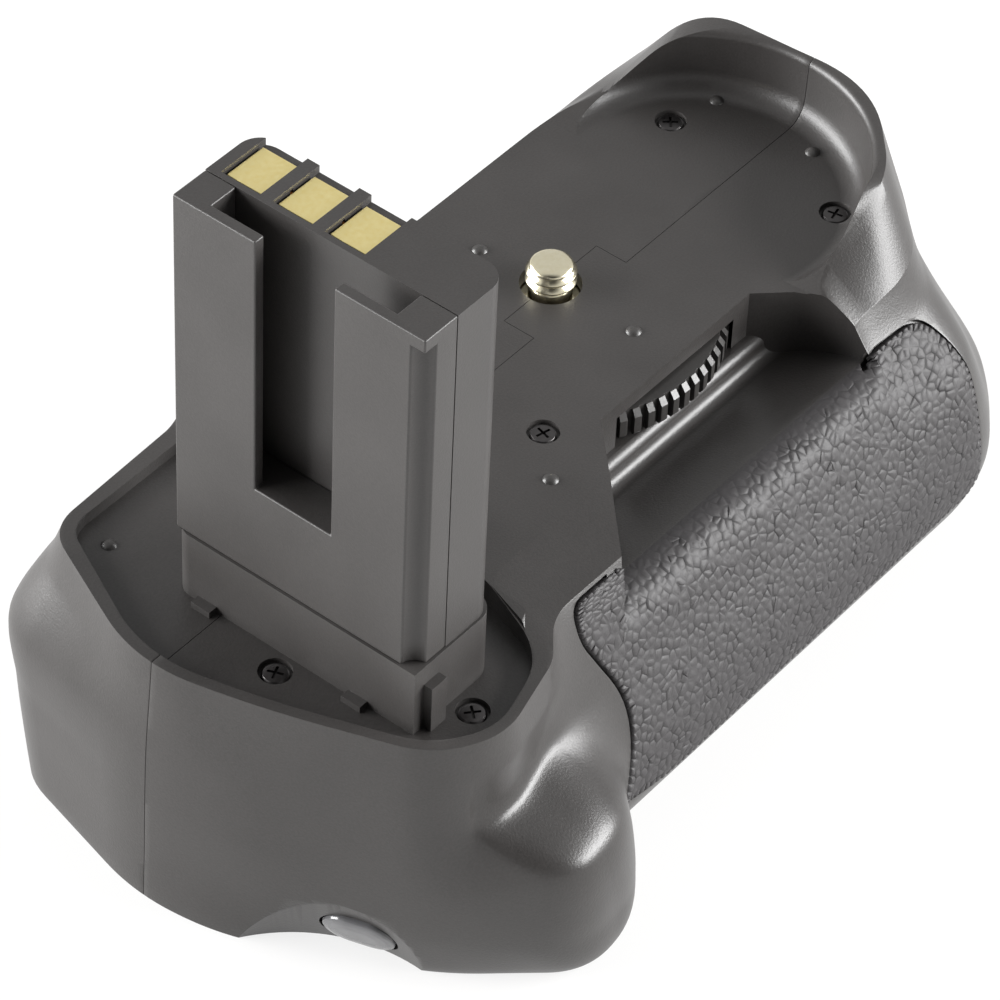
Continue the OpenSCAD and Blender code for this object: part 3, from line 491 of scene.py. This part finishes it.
# %% Cavity
deck_screws = [(33.7, 7.6, 0), (33.4, -18.4, 0), (-20.9, -15.6, 0), (-58.6, -35.8, floor_z),
               (-68.5, -15, floor_z)]
base_screws = [(-53, 14.5, floor_z + 0.5), (-53, -34, floor_z + 0.5), (0, -31, -8.2)]
deck_post, base_post = 2.4, 2.6
cavity = solid(skin_mesh([inset(r, wall) for r in skin_rings(3, 1, 1)]), "inside")
carve(cavity, block((-100, -80, -38), (100, 60, -2), "inside"), operation="INTERSECT")
posts = [drum(deck_post, z - 8.2, z + 1, (x, y), 24, "inside") for x, y, z in deck_screws]
posts += [drum(base_post, -39, z, (x, y), 24, "inside") for x, y, z in base_screws]
carve(cavity, block((-100, -80, floor_z - wall), (-42.1, 60, 10), "inside"),
      dish(DISH_WALL, wall, "inside"), finger_scoop(wall, "inside"), *posts)
print("cavity:", len(cavity.data.polygons), "faces")

# %% [markdown]
# ## Carving the body
# The order is the one a tool path would have: the wide cuts, then the slots, then the holes. The pad gets a
# shallow bed with a narrow groove round it, which is the dark line that the photograph shows.

# %% Cuts
base_line = flat(inset(ring(bottom, 4, 1), 3.4))
pad_turn = Matrix(((1, 0, 0, 0), (0, 0, 1, 0), (0, 1, 0, 0), (0, 0, 0, 1)))
body = solid(outer_bm, "skin")
form = carve(solid(skin_mesh(fine)), dish())
form_tree = BVHTree.FromPolygons([v.co for v in form.data.vertices],
                                 [p.vertices for p in form.data.polygons])
bpy.data.objects.remove(form)
sunk_by, bed_gap = 0.94, 0.3
sunk_side = flat(inset(np.array([(*p, 0) for p in DISH_SIDE]), sunk_by))
sunk = carve(solid(skin_mesh([inset(r, sunk_by) for r in fine])), dish(sunk_side, sunk_by))
dish_end = prism([(-23, -27.6), (-33, -37.6), (-34.4, -36.2), (-24.4, -26.2)], -7, 5)
bed = carve(prism(flat(inset(ring(pad_edge, 8, 3), bed_gap)), -70, -32.8, "cut", pad_turn), sunk, dish_end)
deck_side = [(-60, 0), (19, 0), (23, 2.4), (23, 30), (-60, 30)]
rear_side = [(-60, 0), (23.5, 0), (31, 1.6), (31, 30), (-60, 30)]
wheel_slot_r, screw_hole_r, recess_r = 22.55, 3.875, 2.05
base_cut = carve(prism(base_line, low - 1, -38), block((-90, -90, low - 2), (-60, 90, -30)))
carve(body, prism(deck_side, -70, 0.5, "cut", pad_turn), prism(rear_side, 0, 40, "cut", pad_turn), bowl(),
      prism(flat(ring(pocket_edge, 10, 2)), floor_z, 30), dish(), finger_scoop(), cavity, bed,
      drum(wheel_slot_r, -7.05, -2.25, segments=160), drum(screw_hole_r, -10, 10, segments=64), base_cut,
      block((-44.8, 0, low - 1), (44.8, 22.7, -38)), block((-60.4, -29, -7.5), (-52.4, 1, -2.5)),
      block((-45, 22.9, low - 1), (45, 40, -20.8)),
      prism(stadium(button_hole, button_half), -20, 20, "cut", at_button),
      prism(stadium(button_flange, button_half), -20, -1.9, "inside", at_button),
      *[drum(recess_r, z - 0.7, z + 1, (x, y), 40) for x, y, z in deck_screws], least=BODY_LEAST)
print("body volume:", round(volume(body.data)), "mm3")
print("body:", len(body.data.polygons), "faces")

# %% [markdown]
# ## Splitting and rounding
# The real body is two mouldings that meet on a line through the deck, with a small tab at the screw. Each
# half stops a hair short of the joint. Then every sharp edge that shows is rounded a little, because a
# moulded edge never is a knife edge, and those thin bright edges are what the eye reads as plastic.

# %% The two halves
seam, tab, hair = 4.6, 9.0, 0.04
edge_round, edge_angle = 0.25, math.radians(32)
front_line = [(-120, -seam - hair), (-120, -90), (90, -90), (90, -seam - hair), (tab - hair, -seam - hair),
              (tab - hair, -hair), (-tab + hair, -hair), (-tab + hair, -seam - hair)]
rear_line = [(-120, -seam + hair), (-tab - hair, -seam + hair), (-tab - hair, hair), (tab + hair, hair),
             (tab + hair, -seam + hair), (90, -seam + hair), (90, 60), (-120, 60)]


def rounded_edges(bm, width, segments, chosen):
    edges = [e for e in bm.edges if e.is_manifold and chosen(e)]
    bmesh.ops.bevel(bm, geom=edges, offset=width, offset_type="OFFSET", segments=segments, profile=0.5,
                    affect="EDGES", material=-1, clamp_overlap=True, loop_slide=True)
    return len(edges)


def finished(bm, name, body_name, finish, *nodes, sharp=35):
    """A working mesh in millimetres becomes a finished piece in metres that rides on a body."""
    bmesh.ops.scale(bm, vec=(MM, MM, MM), verts=bm.verts)
    mesh = bpy.data.meshes.new(name)
    bm.to_mesh(mesh)
    bm.free()
    mesh.materials.clear()
    mesh.materials.append(finish)
    mesh.polygons.foreach_set("material_index", [0] * len(mesh.polygons))
    mesh.polygons.foreach_set("use_smooth", [True] * len(mesh.polygons))
    mesh.set_sharp_from_angle(angle=math.radians(sharp))
    made = placed(name, mesh)
    even = made.modifiers.new("even normals", "WEIGHTED_NORMAL")
    even.keep_sharp = True
    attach(made, body_name)
    if nodes:
        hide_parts(*nodes)
    return made


def half(line, name, node):
    work = carve(twin(body), prism(line, -60, 60), operation="INTERSECT", least=HALF_LEAST)
    inside = [i for i, m in enumerate(work.data.materials) if m == TAGS["inside"]]
    bm = bmesh.new()
    bm.from_mesh(work.data)
    bpy.data.objects.remove(work)
    bmesh.ops.remove_doubles(bm, verts=bm.verts, dist=0.01)
    bm.normal_update()

    def shows(edge):
        tags = [f.material_index in inside for f in edge.link_faces]
        return not any(tags) and edge.calc_face_angle(0) > edge_angle

    count = rounded_edges(bm, edge_round, 2, shows)
    made = finished(bm, name, "housing", body_abs, node)
    print(name, count, "edges rounded,", len(made.data.polygons), "faces")


half(front_line, "body_front", "front_shell")
half(rear_line, "body_rear", "rear_shell")
bpy.data.objects.remove(body)

# %% [markdown]
# ## Leather-grain pad
# The grain is a sheet of small plates with cracks between them. Plates are the Voronoi cells of jittered
# points inside the pad's outline, so every crack is a real valley between two plates. The sheet is laid
# on the dished form along slanted rays, rolled off at the groove, and thinned out where it ends in the
# dish.

# %% Sheet on the form
TILT = math.radians(40)
look, rise = Vector((0, math.cos(TILT), -math.sin(TILT))), Vector((0, math.sin(TILT), math.cos(TILT)))


def on_form(x, v):
    point, normal, _, _ = form_tree.ray_cast(Vector((x, 0, 0)) + rise * v - look * 90, look)
    return point, normal


def sheet_height(x, z):
    point, _, _, _ = form_tree.ray_cast(Vector((x, -80, z)), Vector((0, 1, 0)))
    return point.dot(rise)


levels = np.arange(-54, -20, 0.2)
track = np.array([on_form(-5, v)[0] for v in levels])
lengths = np.concatenate([[0], np.cumsum(np.linalg.norm(np.diff(track, axis=0), axis=1))])
groove_edge = [[21.2, -6.2, 0, 0.1]] + pad_edge[3:] + [pad_edge[0], [-31.2, -2.2, 0, 0.1]]
groove_line = [(p[0], sheet_height(p[0], p[1])) for p in ring(groove_edge, 8, 3)[:-4]]
dish_edge = ((-27.4, -32, -7.4), (19.4, -32, -7.4), (20.3, -33.9, -7.1))
dish_line = [(x, Vector((x, y, z)).dot(rise)) for x, y, z in dish_edge]
outline = np.array([(x, np.interp(v, levels, lengths)) for x, v in groove_line + dish_line])
print("pad outline:", len(outline), "points,", round(float(lengths[-1]), 1), "mm down the grip")

# %% Plates
CELL, PROUD, THICK, JITTER = 1.25, 0.3, 0.85, 0.42
# Plates along the edge stand this far apart and this far from it, and the others keep clear of them.
EDGE_STEP, EDGE_GAP, EDGE_CLEAR = 1.1, 0.5, 0.8
draw = np.random.default_rng(5)


def within(points, line):
    inside = np.zeros(len(points), bool)
    for (x0, y0), (x1, y1) in zip(line, np.roll(line, -1, 0)):
        over = (y0 > points[:, 1]) != (y1 > points[:, 1])
        inside ^= over & (points[:, 0] < (x1 - x0) * (points[:, 1] - y0) / (y1 - y0 + 1e-12) + x0)
    return inside


def line_gap(points, line):
    gap = np.full(len(points), 1e9)
    for a, b in zip(line, np.roll(line, -1, 0)):
        t = np.clip((points - a) @ (b - a) / ((b - a) @ (b - a) + 1e-12), 0, 1)
        gap = np.minimum(gap, np.linalg.norm(points - a - t[:, None] * (b - a), axis=1))
    return gap


low_x, low_s = outline.min(0) - 1
high_x, high_s = outline.max(0) + 1
rows = [(x + (0.5 * CELL if k % 2 else 0), s) for k, s in enumerate(np.arange(low_s, high_s, CELL * 0.866))
        for x in np.arange(low_x, high_x, CELL)]
sites = np.array(rows) + draw.uniform(-JITTER, JITTER, (len(rows), 2)) * CELL
sites = sites[within(sites, outline) & (line_gap(sites, outline) > EDGE_CLEAR)]
closed = np.vstack([outline, outline[:1]])
travel = np.concatenate([[0], np.cumsum(np.linalg.norm(np.diff(closed, axis=0), axis=1))])
steps = np.arange(0, travel[-1] - 0.5, EDGE_STEP)
rail = np.stack([np.interp(steps, travel, closed[:, k]) for k in (0, 1)], 1)
side = np.stack([np.interp(steps + 0.3, travel, closed[:, k]) for k in (0, 1)], 1) - rail
side = np.stack([-side[:, 1], side[:, 0]], 1) / np.linalg.norm(side, axis=1)[:, None]
if not within(rail[:1] + 0.2 * side[:1], outline)[0]:
    side = -side
kept = len(sites) + len(rail)
sites = np.vstack([sites, rail + EDGE_GAP * side, rail - EDGE_GAP * side])
spots, _, triangles, origins, _, _ = delaunay_2d_cdt([Vector(p) for p in sites], [], [], 0, 1e-6)
corners = np.array([tuple(p) for p in spots])
fans = {}
centres = []
for number, (i, j, k) in enumerate(triangles):
    a, b, c = corners[i], corners[j], corners[k]
    matrix = 2 * np.array([b - a, c - a])
    centres.append(np.linalg.solve(matrix, [b @ b - a @ a, c @ c - a @ a]))
    for corner in (i, j, k):
        fans.setdefault(corner, []).append(number)
rimmed = {number for number, tri in enumerate(triangles) if any(origins[i][0] >= kept for i in tri)}
print("plates:", kept, "of them at the edge:", len(rail))

# %% Pad mesh
bm = bmesh.new()
crack_layer = bm.verts.layers.float.new("crack")
order_layer = bm.verts.layers.int.new("order")
under = []
# The sheet fades out between these x, from this y over this length, where it ends in the dish.
FADE_X, FADE_Y, FADE_LENGTH = (-29, 20.2), -32, 4


def pad_vert(spot, lift, crack):
    point, normal = on_form(spot[0], np.interp(spot[1], lengths, levels))
    fade = 1.0
    if FADE_X[0] < spot[0] < FADE_X[1]:
        fade = min(1, max(0, (FADE_Y - point.y) / FADE_LENGTH))
        fade = fade * fade * (3 - 2 * fade)
    vert = bm.verts.new(point + normal * (lift * fade - 0.03 * (1 - fade)))
    vert[crack_layer] = crack * fade
    vert[order_layer] = len(under)
    under.append(point - normal * THICK)
    return vert


valley = {}
for index in range(len(corners)):
    if origins[index][0] >= kept:
        continue
    site = corners[index]
    fan = sorted(fans[index], key=lambda n: math.atan2(*(centres[n] - site)[::-1]))
    for number in fan:
        if number not in valley:
            depth = min(1, max(0.08, 0.55 + 1.5 * noise.noise(Vector((*centres[number], 0)) / 1.5)))
            lift = -0.3 if number in rimmed else PROUD - 0.15 * depth
            valley[number] = pad_vert(centres[number], lift, 0.3 if number in rimmed else depth)
    loops = [[valley[n] for n in fan]]
    lean, height = draw.uniform(-0.04, 0.04, 2), draw.uniform(-0.02, 0.02)
    for gap, drop in ((0.2, 0.05), (0.38, 0.0)):
        loop = []
        for number in fan:
            arm = centres[number] - site
            spot = site + arm * max(0.15, 1 - gap / (np.linalg.norm(arm) + 1e-9))
            edge_drop = 0.12 if number in rimmed and drop else 0
            loop.append(pad_vert(spot, PROUD - drop - edge_drop + height + lean @ (spot - site), 0.0))
        loops.append(loop)
    for one, two in zip(loops, loops[1:]):
        for i in range(len(one)):
            j = (i + 1) % len(one)
            bm.faces.new((one[i], one[j], two[j], two[i]))
    bm.faces.new(loops[-1])
made = bmesh.ops.extrude_face_region(bm, geom=list(bm.faces))["geom"]
for vert in made:
    if isinstance(vert, bmesh.types.BMVert):
        vert.co = under[vert[order_layer]]
bmesh.ops.recalc_face_normals(bm, faces=bm.faces)
pad_piece = finished(bm, "pad_leather", "housing", grip_rubber, "grip_pad", sharp=60)
print("pad:", len(pad_piece.data.polygons), "faces")

# %% [markdown]
# ## Stalk
# The stalk copies the camera's own battery: a tall box in two mouldings with a slot down its front. Its
# CAD solids already have the right planes, so a merged copy only gets its edges rounded, as the tool
# leaves them.

# %% Rounded copies of exact solids
copy_angle = math.radians(28)


def rounded_copy(node, name, finish, width):
    bm = bmesh.new()
    bm.from_mesh(frame["nodes"][node].data)
    bmesh.ops.scale(bm, vec=(1 / MM,) * 3, verts=bm.verts)
    bmesh.ops.remove_doubles(bm, verts=bm.verts, dist=0.003)
    bmesh.ops.dissolve_limit(bm, angle_limit=math.radians(1), verts=bm.verts, edges=bm.edges)
    bm.normal_update()
    count = rounded_edges(bm, width, 2, lambda edge: edge.calc_face_angle(0) > copy_angle)
    body_name = next(b for b, names in frame["record"]["behaviour"]["bodies"].items() if node in names)
    made = finished(bm, name, body_name, finish, node)
    print(name, count, "edges rounded,", len(made.data.polygons), "faces")


rounded_copy("stalk_shell", "stalk_rear", stalk_abs, 0.3)
rounded_copy("stalk_cover", "stalk_front", stalk_abs, 0.3)
rounded_copy("stalk_contacts", "contact_blades", contact_gold, 0.12)
rounded_copy("thumb_wheel", "knurled_wheel", wheel_abs, 0.12)
rounded_copy("battery_door", "door_panel", body_abs, 0.3)
rounded_copy("door_latch", "door_slider", wheel_abs, 0.25)
rounded_copy("base_plate", "base_cover", body_abs, 0.2)

# %% [markdown]
# ## Camera screw
# The screw is turned brass with a pale nickel plate. Its quarter-inch thread shows as rings under a domed
# tip, so the profile is drawn ring by ring and spun round the axis.

# %% Screw profile
pitch, crest, root = 1.27, 3.175, 2.62
shank, dome_at, dome_high = 2.75, 3.0, 0.9
line = [(0, -17.2), (2.9, -17.2), (3, -17.1), (3, -8), (5, -8), (5, -2.3), (shank, -2.3), (shank, 0.05)]
level = 0.25
while level + pitch <= 2.9:
    line += [(root, level), (crest, level + 0.42 * pitch), (crest, level + 0.58 * pitch),
             (root, level + pitch)]
    level += pitch
line += [(root, level), (shank, level + 0.1)]
line += [(shank * math.cos(a), dome_at + dome_high * math.sin(a)) for a in np.linspace(0.15, math.pi / 2,
                                                                                       12)]
line[-1] = (0, line[-1][1])
bm = bmesh.new()
lathe(bm, line, 96)
bmesh.ops.recalc_face_normals(bm, faces=bm.faces)
screw_piece = finished(bm, "tripod_screw", "wheel", screw_nickel, "camera_screw", sharp=50)
print("screw top at", round(max(v.co.z for v in screw_piece.data.vertices) / MM, 2), "mm")

# %% [markdown]
# ## Small screws and studs
# Blackened cross-head screws sit a little below the deck in round recesses, so a dark ring shows round
# each. The studs keep their CAD shape.

# %% Cross-head screws


def cross_screw(bm, place, spread):
    work = bmesh.new()
    line = [(0, 0.02), (1.0, 0), (1.45, -0.08), (1.65, -0.25), (1.7, -0.45), (1.0, -1.1), (1.0, -6.8),
            (0, -7)]
    lathe(work, line, 40)
    head = solid(work)
    a, b = 1.0, 0.17
    arms = [(a, b), (b, b), (b, a), (-b, a), (-b, b), (-a, b), (-a, -b), (-b, -b), (-b, -a), (b, -a),
            (b, -b), (a, -b)]
    carve(head, prism(arms, -0.55, 1))
    head.data.transform(Matrix.Translation(place) @ Matrix.Rotation(spread, 4, "Z"))
    bm.from_mesh(head.data)
    bpy.data.objects.remove(head)


bm = bmesh.new()
for k, (x, y, z) in enumerate(deck_screws):
    cross_screw(bm, (x, y, z - 0.2), 0.7 + 1.1 * k)
finished(bm, "deck_fixings", "housing", black_steel, "deck_screws", sharp=30)

# %% [markdown]
# ## Release button
# The button is an oval cap with a soft crown, polished in the tool, set in the finger scoop.

# %% Button cap
bm = bmesh.new()
outline = stadium(button_r, button_half, 32)
cap = bm.faces.new([bm.verts.new((x, y, -1.2)) for x, y in outline])
crown = [(1.0, 0.3), (0.975, 0.55), (0.92, 0.72), (0.78, 0.86), (0.55, 0.96), (0.25, 1.0)]
for share, height in crown:
    made = bmesh.ops.extrude_face_region(bm, geom=[cap])["geom"]
    cap = next(f for f in made if isinstance(f, bmesh.types.BMFace))
    grown = stadium(button_r * share, button_half * share, 32)
    for vert, (x, y) in zip(cap.verts, grown):
        vert.co = (x, y, height)
bmesh.ops.create_cone(bm, cap_ends=True, segments=32, radius1=stem_r, radius2=stem_r, depth=4.4,
                      matrix=Matrix.Translation((0, 0, -3.4)))
bmesh.ops.transform(bm, matrix=at_button, verts=bm.verts)
bmesh.ops.recalc_face_normals(bm, faces=bm.faces)
button_piece = finished(bm, "button_cap", "button", button_abs, "shutter_button")
print("button:", len(button_piece.data.polygons), "faces")

# %% [markdown]
# ## Nodes that stay
# Parts whose CAD shape is right keep it and get a finish.

# %% Finishes on CAD nodes
KEPT = {"deck_nubs": wheel_abs, "base_screws": bright_steel, "stalk_flex": flex_film,
        "screw_bracket": bright_steel, "screw_bush": yellow_brass, "screw_clip": bright_steel,
        "bracket_screws": bright_steel, "tripod_socket": yellow_brass, "battery_tray_near": tray_abs,
        "battery_tray_far": tray_abs, "tray_contacts_near": contact_gold, "tray_contacts_far": contact_gold,
        "door_pin": bright_steel, "circuit_board": board_epoxy, "board_screws": bright_steel,
        "button_guide": tray_abs, "button_switch": tray_abs}
for node, finish in KEPT.items():
    slots = frame["nodes"][node].data.materials
    slots.clear()
    slots.append(finish)
for tag in TAGS.values():
    bpy.data.materials.remove(tag)
print("kept nodes:", len(KEPT))

# %% [markdown]
# ## Floor, light and camera
# The light is that of a white tent: a pale floor, a soft box on each side, a darker patch of tent round the
# camera, and a long lens. The floor is mostly white to the camera and in reflections.

# %% Floor
bm = bmesh.new()
bmesh.ops.create_circle(bm, cap_ends=True, segments=96, radius=4)
bmesh.ops.translate(bm, vec=(0, 0, low * MM), verts=bm.verts)
mesh = bpy.data.meshes.new("floor")
bm.to_mesh(mesh)
bm.free()
floor = placed("floor", mesh)
paper, tree = new_finish("white paper sweep")
ray = add_node(tree, "ShaderNodeLightPath")
paper_diffuse = add_node(tree, "ShaderNodeBsdfDiffuse", {"Color": linear("#f2f1ef")})
paper_white = add_node(tree, "ShaderNodeEmission", {"Color": (1, 1, 1, 1), "Strength": 1.0})
seen = add_node(tree, "ShaderNodeMath", {0: ray.outputs["Is Camera Ray"], 1: ray.outputs["Is Glossy Ray"]},
                operation="ADD")
seen = add_node(tree, "ShaderNodeMath", {0: seen.outputs[0], 1: ray.outputs["Is Transmission Ray"]},
                operation="ADD", use_clamp=True)
seen = add_node(tree, "ShaderNodeMath", {0: seen.outputs[0], 1: 0.8}, operation="MULTIPLY")
close_finish(tree, add_node(tree, "ShaderNodeMixShader", {0: seen.outputs[0], 1: paper_diffuse.outputs[0],
                                                          2: paper_white.outputs[0]}))
floor.data.materials.append(paper)

# %% World and lamps
world = bpy.data.worlds.new("white tent")
bpy.context.scene.world = world
world.use_nodes = True
tree = world.node_tree
tree.nodes.clear()
way = add_node(tree, "ShaderNodeTexCoord").outputs["Generated"]
toward = add_node(tree, "ShaderNodeVectorMath", {0: way, 1: (-0.567, -0.429, 0.703)},
                  operation="DOT_PRODUCT")
tent = add_node(tree, "ShaderNodeMapRange", {"Value": toward.outputs["Value"], "From Min": 0.72,
                                             "From Max": 0.95, "To Min": 0.62, "To Max": 0.05})
sky = add_node(tree, "ShaderNodeBackground", {"Color": (1, 1, 1, 1), "Strength": tent.outputs[0]})
add_node(tree, "ShaderNodeOutputWorld", {"Surface": sky.outputs[0]})


def soft_box(name, at, width, tall, power):
    lamp = bpy.data.lights.new(name, "AREA")
    lamp.shape, lamp.size, lamp.size_y, lamp.energy = "RECTANGLE", width, tall, power
    made = placed(name, lamp)
    made.location = at
    made.rotation_euler = (-Vector(at)).to_track_quat("-Z", "Y").to_euler()


soft_box("left_box", (-0.54, 0.72, 0.22), 0.9, 0.46, 26)
soft_box("right_box", (0.54, -0.72, 0.32), 0.8, 0.4, 22)

# %% Camera
AZIMUTH, ELEVATION, ROLL = math.radians(-52.91), math.radians(44.65), math.radians(2.80)
back = Vector((math.sin(AZIMUTH) * math.cos(ELEVATION), -math.cos(AZIMUTH) * math.cos(ELEVATION),
               math.sin(ELEVATION)))
right = Vector((math.cos(AZIMUTH), math.sin(AZIMUTH), 0))
up = back.cross(right)
right, up = (math.cos(ROLL) * right + math.sin(ROLL) * up, -math.sin(ROLL) * right + math.cos(ROLL) * up)
camera = placed("camera", bpy.data.cameras.new("camera"))
camera.data.sensor_width, camera.data.lens = 36.0, 185.37
camera.matrix_world = Matrix((right, up, back)).transposed().to_4x4()
camera.location = Vector((-373.117, -275.984, 420.981)) * MM
bpy.context.scene.camera = camera
bpy.context.scene.view_settings.view_transform = "Standard"
